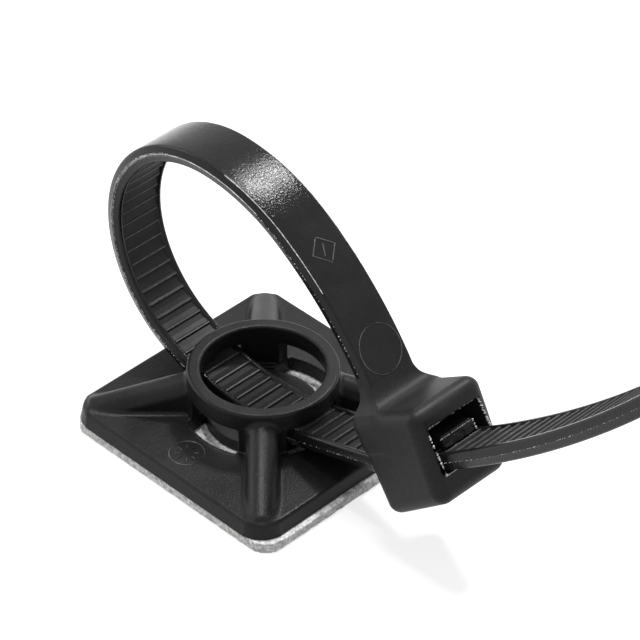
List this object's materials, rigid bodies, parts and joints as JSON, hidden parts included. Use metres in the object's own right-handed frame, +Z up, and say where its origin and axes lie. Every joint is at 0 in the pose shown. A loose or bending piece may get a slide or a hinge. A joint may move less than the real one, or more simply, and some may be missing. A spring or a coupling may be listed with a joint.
{
  "type": "cable tie mount",
  "caption": "Square adhesive base with diagonal ribs and a raised ring, and a black nylon cable tie laced under the ring into an open loop, with its locking head and free tail.",
  "frame": {"origin": "centre of the screw hole, on the foam pad's sticky underside", "axes": "+Z up from the surface the pad is stuck to, through the ring; +X along the tie as it lies in the ring, towards the head and the free tail; +Y across the tie"},
  "size_m": [0.1088, 0.038, 0.0636],
  "materials": {
    "base_plastic": "satin black moulded nylon with polished rims",
    "tie_plastic": "smooth black moulded nylon, glossy on the outer face, with pale torn flash at the parting line",
    "foam": "white closed-cell foam with open cells on its cut edge"
  },
  "bodies": {
    "root": {"mount_base": "base_plastic", "foam_pad": "foam", "cable_tie": "tie_plastic"}
  },
  "joints": []
}
